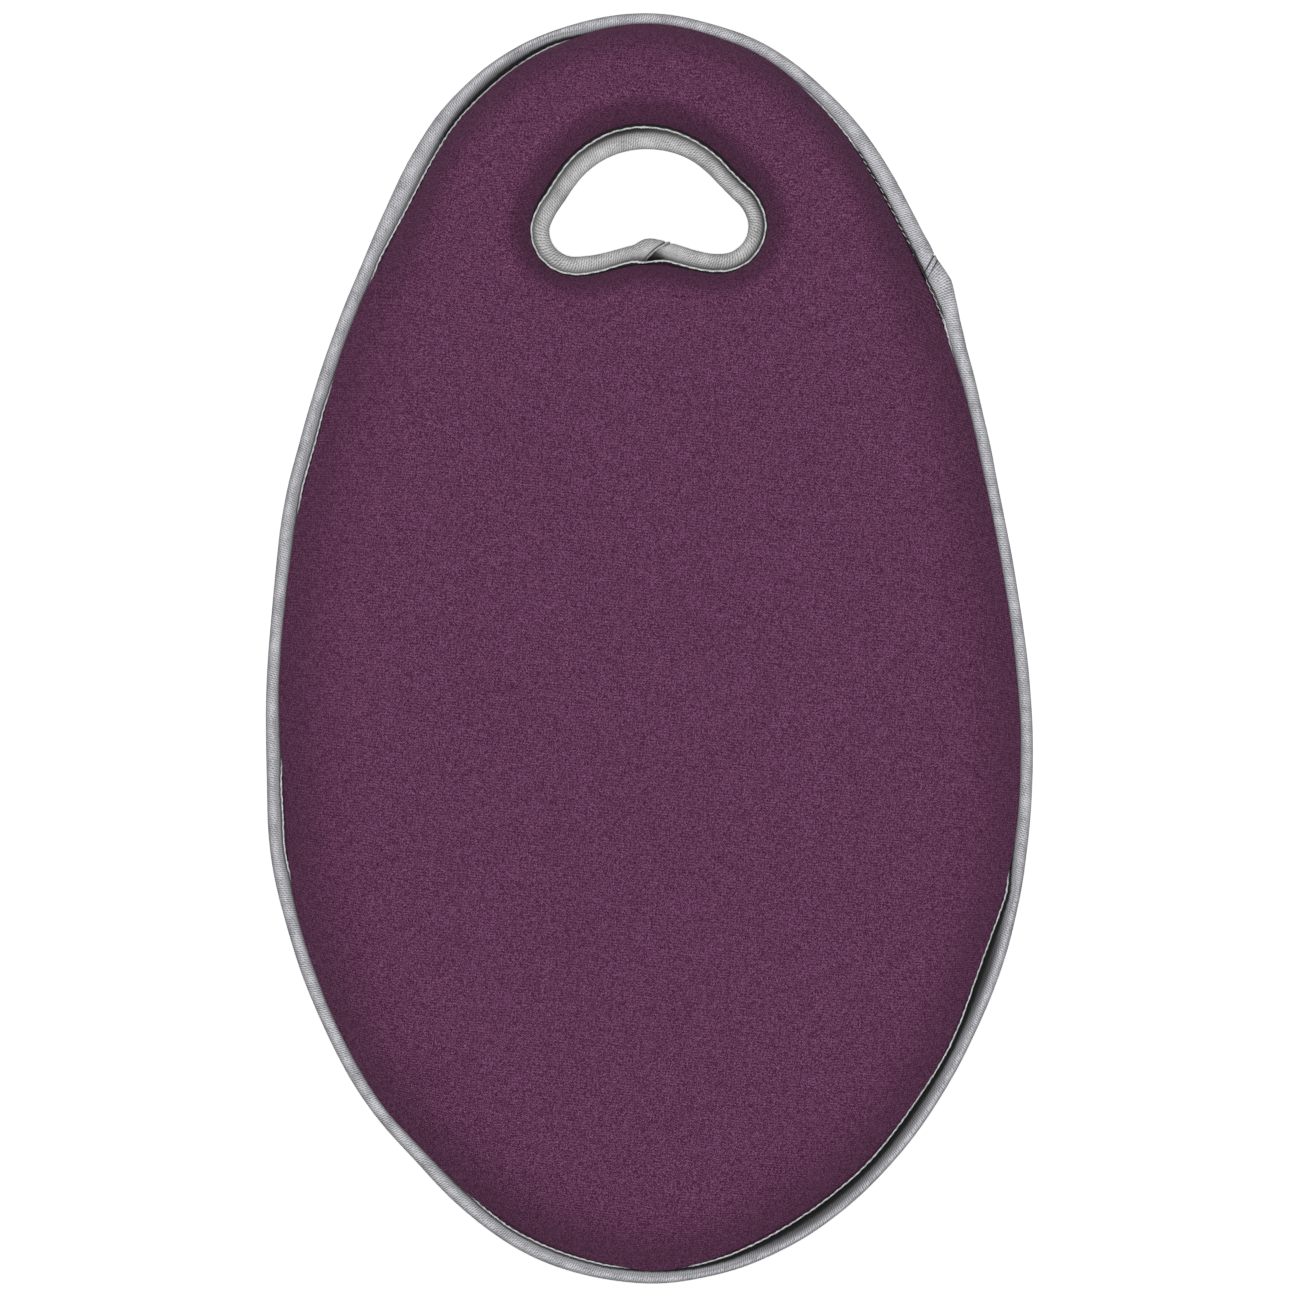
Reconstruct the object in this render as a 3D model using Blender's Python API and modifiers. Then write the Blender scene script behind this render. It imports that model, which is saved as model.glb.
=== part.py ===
"""Kneeling pad: two knit-faced covers over a memory foam layer and an EVA foam layer.

The covers meet in a flange all round the edge and all round the hand hole. A folded knit
tape is wrapped over each flange and sewn down with a lockstitch. Metres, +Z up, +Y towards
the handle end; the pad lies on its back with its underside at Z = 0.
"""

import math

import bmesh
import bpy
import numpy as np

# Driving dimensions, in metres
PAD_THICKNESS = 0.040
SEAM_HEIGHT = 0.017  # plane in which the two covers meet
CLEARANCE = 0.0003  # between touching pieces
COVER_THICKNESS = 0.002
TAPE_THICKNESS = 0.0011
TAPE_DEPTH = 0.009  # how far the tape reaches in from its outer edge
TAPE_FOLD_DEPTH = 0.0019  # from the tape's outer edge to the inside of its fold
FOLD_STEPS = 6
THREAD_RADIUS = 0.00035
STITCH_INSET = 0.0072  # seam line, measured from the tape's outer edge

# Edge of the pad over the tape: (x, y) knots, anticlockwise from the middle of the handle end
PAD_EDGE = [
    (0.000, 0.225), (-0.066, 0.199), (-0.102, 0.138), (-0.126, 0.063), (-0.136, -0.030),
    (-0.122, -0.119), (-0.076, -0.191), (0.000, -0.225), (0.077, -0.191), (0.123, -0.119),
    (0.136, -0.035), (0.124, 0.056), (0.103, 0.134), (0.066, 0.195),
]
# Edge of the hand hole over the tape: an arch and two lobes, each (x, y, radius), with
# straight sides between them and a rounded hump in the lower side
HOLE_ARCH = (-0.001, 0.1455, 0.0313)
HOLE_RIGHT_LOBE = (0.025, 0.1495, 0.010)
HOLE_LEFT_LOBE = (-0.0265, 0.1475, 0.009)
HOLE_HUMP = (0.000, 0.1445)
CURVE_STEPS = 40  # along each arc, or from knot to knot, before even spacing
PAD_EDGE_POINTS = 60
HOLE_EDGE_POINTS = 30

# Wall of a cover or a foam layer: inset from the tape's outer edge, rise from the seam plane
FLANGE_END_INSET = 0.0102  # the crease behind the tape, where the wall leaves the flange
NECK_INSET = 0.0108
NECK_RISE = 0.0012  # above the flange's face
BULGE_STEPS = 2
SHOULDER_STEPS = 3
FLANGE_TIP_INSET = TAPE_FOLD_DEPTH + CLEARANCE
FLANGE_RISE = CLEARANCE / 2 + COVER_THICKNESS
FRONT_WALL = {"bulge": (0.0055, 0.0122), "flat": (0.0210, PAD_THICKNESS - SEAM_HEIGHT)}
BACK_WALL = {"bulge": (0.0063, 0.0100), "flat": (0.0150, SEAM_HEIGHT)}
FOAM_SETBACK = COVER_THICKNESS + 2 * CLEARANCE  # foam surface behind the cover's outer face

# Where the ends of the pad's tape meet; the hand hole's tape ends on top of the hump
PAD_JOINT = (0.103, 0.135)
JOINT_GAP = 0.0015

CREASE_ANGLE = math.radians(50)  # edges sharper than this are shaded as creases

# Base colour and roughness
PLUM_KNIT = ((0.115, 0.037, 0.088), 0.85)
GREY_TAPE = ((0.33, 0.33, 0.35), 0.70)
GREY_THREAD = ((0.45, 0.45, 0.46), 0.60)
CREAM_FOAM = ((0.75, 0.72, 0.60), 0.90)
CHARCOAL_FOAM = ((0.05, 0.05, 0.055), 0.80)


def new_collection(name):
    collection = bpy.data.collections.new(name)
    bpy.context.scene.collection.children.link(collection)
    return collection


def new_material(name, colour, roughness):
    material = bpy.data.materials.new(name)
    material.use_nodes = True
    shader = material.node_tree.nodes["Principled BSDF"]
    shader.inputs["Base Color"].default_value = (*colour, 1.0)
    shader.inputs["Roughness"].default_value = roughness
    shader.inputs["Metallic"].default_value = 0.0
    return material


def even_points(curve, count, joint):
    """Evenly spaced points along a closed curve, from the place where the tape's ends meet."""
    curve = np.roll(curve, -int(np.argmin(np.linalg.norm(curve - joint, axis=1))), axis=0)
    closed = np.vstack([curve, curve[:1]])
    travel = np.concatenate([[0.0], np.cumsum(np.linalg.norm(np.diff(closed, axis=0), axis=1))])
    stations = np.linspace(0.0, travel[-1], count, endpoint=False)
    return np.column_stack([np.interp(stations, travel, closed[:, axis]) for axis in (0, 1)])


def pad_edge():
    """The smooth closed curve through the knots of the pad's edge."""
    knots = np.array(PAD_EDGE)
    slopes = (np.roll(knots, -1, axis=0) - np.roll(knots, 1, axis=0)) / 2
    u = np.linspace(0.0, 1.0, CURVE_STEPS, endpoint=False)[None, :, None]
    starts, ends = knots[:, None], np.roll(knots, -1, axis=0)[:, None]
    leave, arrive = slopes[:, None], np.roll(slopes, -1, axis=0)[:, None]
    curve = (
        (2 * u**3 - 3 * u**2 + 1) * starts
        + (u**3 - 2 * u**2 + u) * leave
        + (3 * u**2 - 2 * u**3) * ends
        + (u**3 - u**2) * arrive
    ).reshape(-1, 2)
    return even_points(curve, PAD_EDGE_POINTS, PAD_JOINT)


def arc(circle, start, end):
    """Points on a circle (x, y, radius) from one angle to another, in radians."""
    angles = np.linspace(start, end, CURVE_STEPS)
    return np.column_stack([circle[0] + circle[2] * np.cos(angles),
                            circle[1] + circle[2] * np.sin(angles)])


def tangent_angle(big, small, side):
    """Where a straight line that touches both circles touches them; side is +1 or -1."""
    dx, dy = small[0] - big[0], small[1] - big[1]
    spread = math.acos((big[2] - small[2]) / math.hypot(dx, dy))
    return (math.atan2(dy, dx) + side * spread) % math.tau


def hump_side(lobe):
    """From the top of the hump down to the lowest point of a lobe, level at both ends."""
    along = np.linspace(0.0, 1.0, CURVE_STEPS)
    low = lobe[1] - lobe[2]
    x = HOLE_HUMP[0] + (lobe[0] - HOLE_HUMP[0]) * along
    return np.column_stack([x, low + (HOLE_HUMP[1] - low) * (1 + np.cos(math.pi * along)) / 2])


def hole_edge():
    """The edge of the hand hole, clockwise."""
    right = tangent_angle(HOLE_ARCH, HOLE_RIGHT_LOBE, 1)
    left = tangent_angle(HOLE_ARCH, HOLE_LEFT_LOBE, -1)
    curve = np.vstack([
        arc(HOLE_ARCH, math.pi / 2, right),
        arc(HOLE_RIGHT_LOBE, right, -math.pi / 2),
        hump_side(HOLE_RIGHT_LOBE)[-2::-1],
        hump_side(HOLE_LEFT_LOBE)[1:],
        arc(HOLE_LEFT_LOBE, 3 * math.pi / 2, left)[1:],
        arc(HOLE_ARCH, left, math.pi / 2)[:-1],
    ])
    return even_points(curve, HOLE_EDGE_POINTS, HOLE_HUMP)


def inset_loop(loop, inset):
    """The loop moved sideways into the pad, which lies on the left of its direction."""
    along = np.roll(loop, -1, axis=0) - np.roll(loop, 1, axis=0)
    along /= np.linalg.norm(along, axis=1)[:, None]
    left = np.column_stack([-along[:, 1], along[:, 0]])
    return loop + inset * left


def cover_section(bulge, flat):
    """(inset, rise) along a cover's outer face: flange, neck, bulge over the tape, shoulder."""
    neck_rise = FLANGE_RISE + NECK_RISE
    section = [(FLANGE_TIP_INSET, FLANGE_RISE), (FLANGE_END_INSET, FLANGE_RISE)]
    for step in range(BULGE_STEPS):
        t = step / BULGE_STEPS
        inset = NECK_INSET + (bulge[0] - NECK_INSET) * math.sin(t * math.pi / 2)
        section.append((inset, neck_rise + (bulge[1] - neck_rise) * t))
    for step in range(SHOULDER_STEPS + 1):
        angle = step / SHOULDER_STEPS * math.pi / 2
        inset = flat[0] + (bulge[0] - flat[0]) * math.cos(angle)
        section.append((inset, bulge[1] + (flat[1] - bulge[1]) * math.sin(angle)))
    return section


def foam_section(section):
    """The cover's section moved inside it, from the split between the foam layers."""
    points = np.array(section)
    along = np.diff(points, axis=0)
    along = np.vstack([along, [1.0, 0.0]])
    along /= np.linalg.norm(along, axis=1)[:, None]
    inward = np.column_stack([along[:, 1], -along[:, 0]])
    mitre = inward[:-1] + inward[1:]
    mitre /= (mitre * inward[1:]).sum(axis=1)[:, None]
    inside = points[1:] + FOAM_SETBACK * mitre
    walls = [tuple(point) for point in inside[1:]]
    return [(walls[0][0] + CLEARANCE, CLEARANCE / 2)] + walls


def add_ring(mesh, loop, height):
    """One closed ring of edges at a height."""
    verts = [mesh.verts.new((x, y, height)) for x, y in loop]
    return [mesh.edges.new((a, b)) for a, b in zip(verts, verts[1:] + verts[:1])]


def add_wall(mesh, edge_loop, section, side):
    """Bridges the rings of a section; side is +1 above the seam plane, -1 below it."""
    rings = [
        add_ring(mesh, inset_loop(edge_loop, inset), SEAM_HEIGHT + side * rise)
        for inset, rise in section
    ]
    for lower, upper in zip(rings, rings[1:]):
        bmesh.ops.bridge_loops(mesh, edges=lower + upper)
    return rings[0], rings[-1]


def face_outwards(mesh, side):
    """Turns every face so that the flat one farthest from the seam faces up (+1) or down (-1)."""
    bmesh.ops.recalc_face_normals(mesh, faces=mesh.faces[:])
    flat = max(mesh.faces, key=lambda face: side * face.calc_center_median().z)
    flat.normal_update()
    if flat.normal.z * side < 0:
        bmesh.ops.reverse_faces(mesh, faces=mesh.faces[:])


def add_layer(name, section, side, closed, material, collection):
    """A cover's skin, or a closed foam layer, with the hand hole through it."""
    mesh = bmesh.new()
    pad_near, pad_far = add_wall(mesh, pad_edge(), section, side)
    hole_near, hole_far = add_wall(mesh, hole_edge(), section, side)
    bmesh.ops.triangle_fill(mesh, edges=pad_far + hole_far, use_beauty=True)
    if closed:
        bmesh.ops.triangle_fill(mesh, edges=pad_near + hole_near, use_beauty=True)
    face_outwards(mesh, side)
    data = bpy.data.meshes.new(name)
    mesh.to_mesh(data)
    mesh.free()
    layer = bpy.data.objects.new(name, data)
    data.materials.append(material)
    data.shade_smooth()
    data.set_sharp_from_angle(angle=CREASE_ANGLE)
    collection.objects.link(layer)
    return layer


def add_cover(name, wall, side, material, collection):
    cover = add_layer(name, cover_section(**wall), side, False, material, collection)
    shell = cover.modifiers.new("fabric thickness", "SOLIDIFY")
    shell.thickness = COVER_THICKNESS
    shell.offset = -1.0
    shell.use_even_offset = True
    return cover


def add_foam(name, wall, side, material, collection):
    section = foam_section(cover_section(**wall))
    return add_layer(name, section, side, True, material, collection)


def open_path(edge_loop, inset):
    """Points once round the loop, from one side of the tape's joint to the other."""
    path = inset_loop(edge_loop, inset)
    path = np.vstack([path, path[:1]])
    for end, beside in ((0, 1), (-1, -2)):
        back = path[beside] - path[end]
        path[end] += back / np.linalg.norm(back) * JOINT_GAP / 2
    return path


def add_path_curve(name, path, height, material, collection):
    curve = bpy.data.curves.new(name, "CURVE")
    curve.dimensions = "2D"
    spline = curve.splines.new("POLY")
    spline.points.add(len(path) - 1)
    spline.points.foreach_set("co", [value for x, y in path for value in (x, y, 0.0, 1.0)])
    curve.use_fill_caps = True
    curve.materials.append(material)
    obj = bpy.data.objects.new(name, curve)
    obj.location.z = height
    collection.objects.link(obj)
    return obj


def add_tape_section(name, collection):
    """The closed C outline of the tape round a flange: -X is into the pad and Y is up."""
    inner = FLANGE_RISE + CLEARANCE
    outer = inner + TAPE_THICKNESS
    fold = []
    for step in range(FOLD_STEPS + 1):
        angle = step / FOLD_STEPS * math.pi
        fold.append((outer - outer * math.sin(angle), outer * math.cos(angle)))
    outline = [(TAPE_DEPTH, inner), (TAPE_DEPTH, outer), *fold, (TAPE_DEPTH, -outer)]
    outline += [(TAPE_DEPTH, -inner), (TAPE_FOLD_DEPTH, -inner), (TAPE_FOLD_DEPTH, inner)]
    curve = bpy.data.curves.new(name, "CURVE")
    spline = curve.splines.new("POLY")
    spline.points.add(len(outline) - 1)
    spline.points.foreach_set("co", [value for x, y in outline for value in (-x, y, 0.0, 1.0)])
    spline.use_cyclic_u = True
    section = bpy.data.objects.new(name, curve)
    section.hide_render = True
    section.display_type = "WIRE"
    collection.objects.link(section)
    return section


def add_binding(name, edge_loop, section, material, collection):
    tape = add_path_curve(name, open_path(edge_loop, 0.0), SEAM_HEIGHT, material, collection)
    tape.data.bevel_mode = "OBJECT"
    tape.data.bevel_object = section


def add_thread(name, edge_loop, side, material, collection):
    """One thread of the lockstitch, lying on the tape along the seam line."""
    rise = FLANGE_RISE + CLEARANCE + TAPE_THICKNESS + CLEARANCE + THREAD_RADIUS
    path = open_path(edge_loop, STITCH_INSET)
    thread = add_path_curve(name, path, SEAM_HEIGHT + side * rise, material, collection)
    thread.data.bevel_depth = THREAD_RADIUS
    thread.data.bevel_resolution = 1


def main():
    for obj in list(bpy.data.objects):
        bpy.data.objects.remove(obj, do_unlink=True)
    pad = new_collection("kneeling_pad")
    guides = new_collection("kneeling_pad_guides")

    front_knit = new_material("front_cover_knit", *PLUM_KNIT)
    back_knit = new_material("back_cover_knit", *PLUM_KNIT)
    memory_foam = new_material("memory_foam", *CREAM_FOAM)
    eva_foam = new_material("eva_foam", *CHARCOAL_FOAM)
    tape_knit = new_material("tape_knit", *GREY_TAPE)
    thread = new_material("thread", *GREY_THREAD)

    add_cover("front_cover", FRONT_WALL, 1, front_knit, pad)
    add_cover("back_cover", BACK_WALL, -1, back_knit, pad)
    add_foam("memory_foam_layer", FRONT_WALL, 1, memory_foam, pad)
    add_foam("eva_foam_layer", BACK_WALL, -1, eva_foam, pad)

    section = add_tape_section("tape_section", guides)
    for place, loop in (("edge", pad_edge()), ("handle", hole_edge())):
        add_binding(f"{place}_binding", loop, section, tape_knit, pad)
        add_thread(f"{place}_needle_thread", loop, 1, thread, pad)
        add_thread(f"{place}_bobbin_thread", loop, -1, thread, pad)


main()
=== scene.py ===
"""Looks of the kneeling pad: knit covers, foam, folded binding tape and lockstitches.

The outline of the pad and of its hand hole, the seam's height and the pad's thickness come
from the CAD frame. Each cover is a sheet with the section of a padded, bound edge; the two
are swollen together by a short cloth simulation. Millimetres are written as N * MM.
"""

import math
from collections import namedtuple

import bpy
import numpy as np
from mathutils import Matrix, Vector, noise
from mathutils.geometry import delaunay_2d_cdt


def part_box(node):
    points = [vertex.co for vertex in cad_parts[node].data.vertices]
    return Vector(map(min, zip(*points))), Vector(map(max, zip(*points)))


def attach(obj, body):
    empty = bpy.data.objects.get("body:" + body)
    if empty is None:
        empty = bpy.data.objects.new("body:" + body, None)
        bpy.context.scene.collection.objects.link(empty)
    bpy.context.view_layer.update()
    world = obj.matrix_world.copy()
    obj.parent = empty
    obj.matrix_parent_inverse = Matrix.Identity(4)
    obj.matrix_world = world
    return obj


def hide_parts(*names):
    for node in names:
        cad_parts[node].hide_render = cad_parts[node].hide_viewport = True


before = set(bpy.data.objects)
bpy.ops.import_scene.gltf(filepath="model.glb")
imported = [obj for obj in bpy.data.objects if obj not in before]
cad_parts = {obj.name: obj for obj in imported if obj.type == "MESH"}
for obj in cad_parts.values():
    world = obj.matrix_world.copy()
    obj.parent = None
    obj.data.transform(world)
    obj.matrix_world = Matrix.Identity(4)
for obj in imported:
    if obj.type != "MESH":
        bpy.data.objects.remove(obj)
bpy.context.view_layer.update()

MM = 0.001

# Sheet of a cover
RING_SPACING = 4.0 * MM  # between the points round an edge
LATTICE_SPACING = 6.0 * MM  # between the points of the flat face
COVER_THICKNESS = 1.6 * MM
SHOULDER_STEPS = 9
SHOULDER_POWER = 2.6  # how evenly the shoulder rounds over; 1 would be a bevel
SHOULDER_CROWDING = 1.5  # above 1, the rings are closer together where the shoulder is steep
BULGE_STEPS = 4
FLAT_HALF = 2.5 * MM  # half of the flat strip where two shoulders meet

# Section of a cover: heights are from the seam and insets from the rim
FLANGE_HALF = 0.45 * MM  # half of the squeezed seam allowances inside the tape
FLANGE_TIP = 2.4 * MM  # inset of the flange's outer edge
FLANGE_END = 1.2 * MM  # how far short of the tape's depth the covers begin to part
PARTED_HALF = 1.0 * MM  # half of the gap between them just behind the tape
PARTED_SETBACK = 0.35 * MM  # how far behind it that is
FLANGE_RINGS = 4  # the flange and the crease beside the tape, held still while the cover swells
CREASE_SETBACK = 0.75 * MM  # from the tape's depth to the crease
FRONT_NECK = 2.6 * MM  # height of the crease
FRONT_BULGE_RISE = 6.0 * MM  # height where the side stands out furthest
BACK_NECK = 2.4 * MM
BACK_BULGE_RISE = 9.5 * MM
BACK_BULGE_INSET = 4.5 * MM
BACK_DRAW = 0.3  # share of the front's showing tape by which the back's side also draws back
BACK_SHOULDER = 9.5 * MM
PUCKER = 0.18 * MM  # how far the seam's puckers push the side in and out
PUCKER_LENGTH = 14 * MM

# Unevenness of the padding: length and height of its slow and of its quick waves
SLOW_WAVE = 45 * MM
SLOW_HEIGHT = 0.28 * MM
QUICK_WAVE = 16 * MM
QUICK_HEIGHT = 0.07 * MM
BACK_EVENNESS = 0.3  # share of the unevenness that the back cover shows

# Foam
FOAM_SETBACK = 2.8 * MM
FOAM_SPLIT_HALF = 0.15 * MM  # half of the gap between the two layers
FOAM_LATTICE_SPACING = 3 * LATTICE_SPACING
FOAM_WALL_RINGS = 2

# Cloth
SWELL_FRAMES = 20
SWELL_PRESSURE = 4.0
SWELL_CAP = 1.2 * MM
FLOOR_GAP = 0.05 * MM

# Tape
TAPE_THICKNESS = 0.8 * MM
TAPE_STEP = 0.75 * MM
HEM_ZONE = 5.0 * MM  # stretch at the tape's upper end that has finer steps
HEM_STEP = 0.2 * MM
LAP = 3.0 * MM  # the under end of the tape runs this far below the hem
LIFT = 1.15 * MM  # how far the upper end of the tape rides over the under end
LIFT_END = 15 * MM  # where the upper end has come down again
LIFT_RISE = 1.5 * MM  # height from which the tape has its full lift
LIFT_AT_SIDE = 0.45  # share of the lift by which the upper end also stands out sideways
LIFT_REACH = 1.6 * MM  # how far in from the rim it stands out
HEM_FOLD = 0.30 * MM  # what the turned-in fabric adds to the hem's height
HEM_ROUNDING = 0.5 * MM
HEM_GROOVE = 0.55 * MM  # depth of the groove sewn along the hem
GROOVE_PLACE = 0.1 * MM  # how far past the hem it lies
GROOVE_WIDTH = 0.32 * MM
TUCK_LENGTH = 3 * MM  # stretch over which the under end goes in under the hem
TUCK_REACH = 2.0 * MM  # how far in from the rim it is drawn in
TUCK_FLATTENING = 0.25
SLANT_LENGTH = 11 * MM  # how quickly the joint's slant fades away from it
OPEN_VALLEY_LENGTH = 4.5 * MM  # half of the open valley under the lap
ROLL_WAVE = 18 * MM  # length of the roll's slow waves
ROLL_WAVE_RISE = 0.05  # share by which they change its height
ROLL_SWAY = 0.12 * MM  # how far they push its side in and out
ROLL_REACH = 7 * MM  # how far in from the rim its sways and flares are felt
FLARE = 3 * MM  # a flare of this size...
FLARE_FLATTENING = 0.22  # ...takes this share off the roll's height
LIP_SETBACK = 0.15 * MM  # how far short of the rim's depth the lip lies
LIP_WANDER = 0.10 * MM
LIP_WANDER_LENGTH = 2.2 * MM
COVERED_LIP = 1.2 * MM  # least reach of the tape under a cover that hides its lip
HIDDEN_DEPTH = 6.3 * MM  # least depth of the tape there
LIP_APPEARS = 4.8 * MM, 5.8 * MM  # the lip comes out where this much of the tape shows
LIT_LIP_VALLEY = 0.2 * MM  # valley beside which the lip is out of the cover's shadow and is given a painted highlight

# Thread
STITCH_PITCH = 3.0 * MM
STITCH_PULL = 0.06 * MM  # how far the stitches draw the lip in and let it out
STITCH_RISE = 0.02  # share by which the roll's height changes with them
STITCH_LEAN = 0.25 * MM  # how far each stitch leans across its row
STITCH_DIP = 1.60 * MM  # height from the seam at which the stitches go into the tape
STITCH_STAND = 1.15 * MM  # how far above it they stand
ROW_SETBACK = 0.42 * MM  # how far short of the rim's depth their row lies
ROW_WANDER = 0.15 * MM
ROW_WANDER_LENGTH = 4 * MM
STITCH_PIECES = 8  # straight pieces of thread in one stitch
THREAD_RADIUS = 0.17 * MM

# Where the padding draws back and more of the tape shows: degrees clockwise from the handle
# end, half width in degrees, more tape in mm, more valley between its roll and its lip in mm,
# and how far the whole edge sways outwards in mm
Swell = namedtuple("Swell", "at degrees wider valley out", defaults=[0.0])
EDGE_SWELLS = [
    Swell(30, 16, 3.0, 0.0),
    Swell(33, 10, 0.0, -1.8),
    Swell(133, 10, 4.0, 2.2),
    Swell(149, 7, 2.2, 1.5),
    Swell(164, 12, 3.5, 2.6),
    Swell(190, 10, 2.0, 0.2),
    Swell(246, 9, 2.0, 0.0),
    Swell(300, 12, 2.0, 0.0),
    Swell(333, 10, 3.6, -0.15),
    Swell(346, 8, 2.2, 1.8),
    # The sewer's hand: the edge wanders from the pattern by a millimetre or two
    Swell(11, 5, 0.0, 0.0, 1.4),
    Swell(25, 9, 0.0, 0.0, -0.9),
    Swell(167, 10, 0.0, 0.0, 2.2),
    Swell(191, 7, 0.0, 0.0, 1.9),
    Swell(205, 5, 0.0, 0.0, -1.6),
    Swell(241, 9, 0.0, 0.0, 1.4),
    Swell(291, 9, 0.0, 0.0, 1.2),
    Swell(324, 18, 0.0, 0.0, -0.8),
    Swell(348, 5, 0.0, 0.0, 1.2),
]
HOLE_SWELLS = [Swell(-20, 55, 1.4, 0.6), Swell(100, 40, 0.0, 0.5), Swell(180, 30, 1.8, 0.2)]

# Tape that shows, its valley, where the cover starts behind the lip, how far the tape goes on
# under the cover behind the lip (0 to 1), and the length of the cover's shoulder
EDGE_LOOKS = {
    "tape": 4.0 * MM, "valley": 0.8 * MM, "swells": EDGE_SWELLS,
    "gap": -0.05 * MM, "crevice": 0.0, "shoulder": 28 * MM,
}
HOLE_LOOKS = {
    "tape": 6.6 * MM, "valley": 0.5 * MM, "swells": HOLE_SWELLS,
    "gap": 1.05 * MM, "crevice": 1.0, "shoulder": 11 * MM,
}

# Lapped joints, lengths in metres and flares in mm: the joint's place and slant along the rim,
# the open valley under the lap, the hem's width, how far the under end bulges out at distances
# before the hem, the same for the upper end after it, and how far the under end is tucked in
EDGE_JOINT = {
    "start": 3.1 * MM, "slope": -0.80, "valley": 0.0, "valley_at": 3 * MM, "hem": 2.3 * MM,
    "flare": [(-3, 0.0), (0, 0.9), (6.8, 2.7), (7.8, 2.7), (12, 1.8), (19, 0.7), (30, 0.0)],
    "start_flare": [(0, 0.0), (1, 0.0)], "tuck": 0.0,
}
HOLE_JOINT = {
    "start": -7.6 * MM, "slope": 1.24, "valley": 2.0 * MM, "valley_at": 0.5 * MM, "hem": 1.3 * MM,
    "flare": [(0, 0.0), (1, 0.0)],
    "start_flare": [(0, -0.4), (2, -0.3), (6, 0.2), (7.3, 0.0), (9, -1.4), (16, -0.7), (23, 0.0)],
    "tuck": 0.8 * MM,
}

# Fabric looks; pairs of colours are (dark, light)
KNIT_COLOURS = [(0.036, 0.008, 0.024), (0.091, 0.024, 0.065), (0.260, 0.100, 0.205)]
BACK_TONE = 0.97  # brightness of the back cover's knit beside the front's
SHEEN_TINT = (1.0, 0.35, 0.8, 1.0)
KNIT_TURN = math.radians(5.4)  # the knit's wales lean from the pad's long axis
WALE_PITCH = 1.1 * MM
ROW_PITCH = 0.96 * MM
YARNS_IN_ROW = 4.0
YARN_WIDTH = 0.29 * MM
YARN_CONTRAST = 0.9
# painted highlight: the pale lip where it stands clear of the cover's shadow
LIP_HIGHLIGHT_COLOUR = (0.85, 0.86, 0.86, 1.0)
# painted shade: near-black standing for the shadow in the sewn valley, under the lapped end and
# under the cover's edge
VALLEY_SHADE_COLOUR = (0.004, 0.004, 0.0045, 1.0)
EDGE_GREYS = (0.20, 0.20, 0.22), (0.74, 0.74, 0.78)
HOLE_GREYS = (0.22, 0.22, 0.22), (0.72, 0.72, 0.72)
RIB_PITCH = 0.80 * MM
TWILL_PITCH = 0.95 * MM
THREAD_GREY = (0.62, 0.62, 0.62)
CREAM_FOAM = (0.62, 0.58, 0.45), (0.80, 0.76, 0.62)
CREAM_CELL = 0.9 * MM
CHARCOAL_FOAM = (0.03, 0.03, 0.033), (0.06, 0.06, 0.065)
CHARCOAL_CELL = 0.6 * MM

# Stage. Soft lights: (degrees clockwise from the handle end, degrees above the floor, power)
LIGHTS = {
    "overhead": (0, 90, 22.2),
    "lower_right": (140, 30, 2.2),
    "upper_left": (325, 30, 3.2),
    "lower_left": (225, 30, 0.2),
    "upper_right": (45, 30, 1.0),
}
LIGHT_DISTANCE = 1.6
LIGHT_SIZE = 0.7
WORLD_STRENGTH = 0.85
FLOOR_GLOW = 0.6
FLOOR_HALF = 6.0
PAPER_GREYS = (0.88, 0.88, 0.88), (0.92, 0.92, 0.92)
LENS = 150.0
SENSOR_WIDTH = 36.0
VIEW_WIDTH = 461 * MM  # what the camera sees across, at the seam's height
VIEW_CENTRE = (0.2 * MM, -0.9 * MM)


# ---------------------------------------------------------------- loops

def blur(values, sigma):
    """Values at even stations round a closed loop, smoothed over sigma stations."""
    waves = np.fft.rfftfreq(len(values))
    keep = np.exp(-2.0 * (np.pi * waves * sigma) ** 2)
    spectrum = np.fft.rfft(values, axis=0)
    return np.fft.irfft(spectrum * keep.reshape(-1, *[1] * (values.ndim - 1)), len(values), axis=0)


def smooth_closed(knots, spacing):
    """Even points on the smooth closed curve through the knots, starting at the first one."""
    slopes = (np.roll(knots, -1, axis=0) - np.roll(knots, 1, axis=0)) / 2
    u = np.linspace(0.0, 1.0, 60, endpoint=False)[None, :, None]
    curve = (
        (2 * u**3 - 3 * u**2 + 1) * knots[:, None]
        + (u**3 - 2 * u**2 + u) * slopes[:, None]
        + (3 * u**2 - 2 * u**3) * np.roll(knots, -1, axis=0)[:, None]
        + (u**3 - u**2) * np.roll(slopes, -1, axis=0)[:, None]
    ).reshape(-1, 2)
    closed = np.vstack([curve, curve[:1]])
    travel = np.concatenate([[0.0], np.cumsum(np.linalg.norm(np.diff(closed, axis=0), axis=1))])
    count = int(round(travel[-1] / spacing))
    stations = np.linspace(0.0, travel[-1], count, endpoint=False)
    points = np.column_stack([np.interp(stations, travel, closed[:, axis]) for axis in (0, 1)])
    return points, travel[-1]


def left_normals(loop):
    along = np.roll(loop, -1, axis=0) - np.roll(loop, 1, axis=0)
    along /= np.linalg.norm(along, axis=1)[:, None]
    return np.column_stack([-along[:, 1], along[:, 0]])


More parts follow.
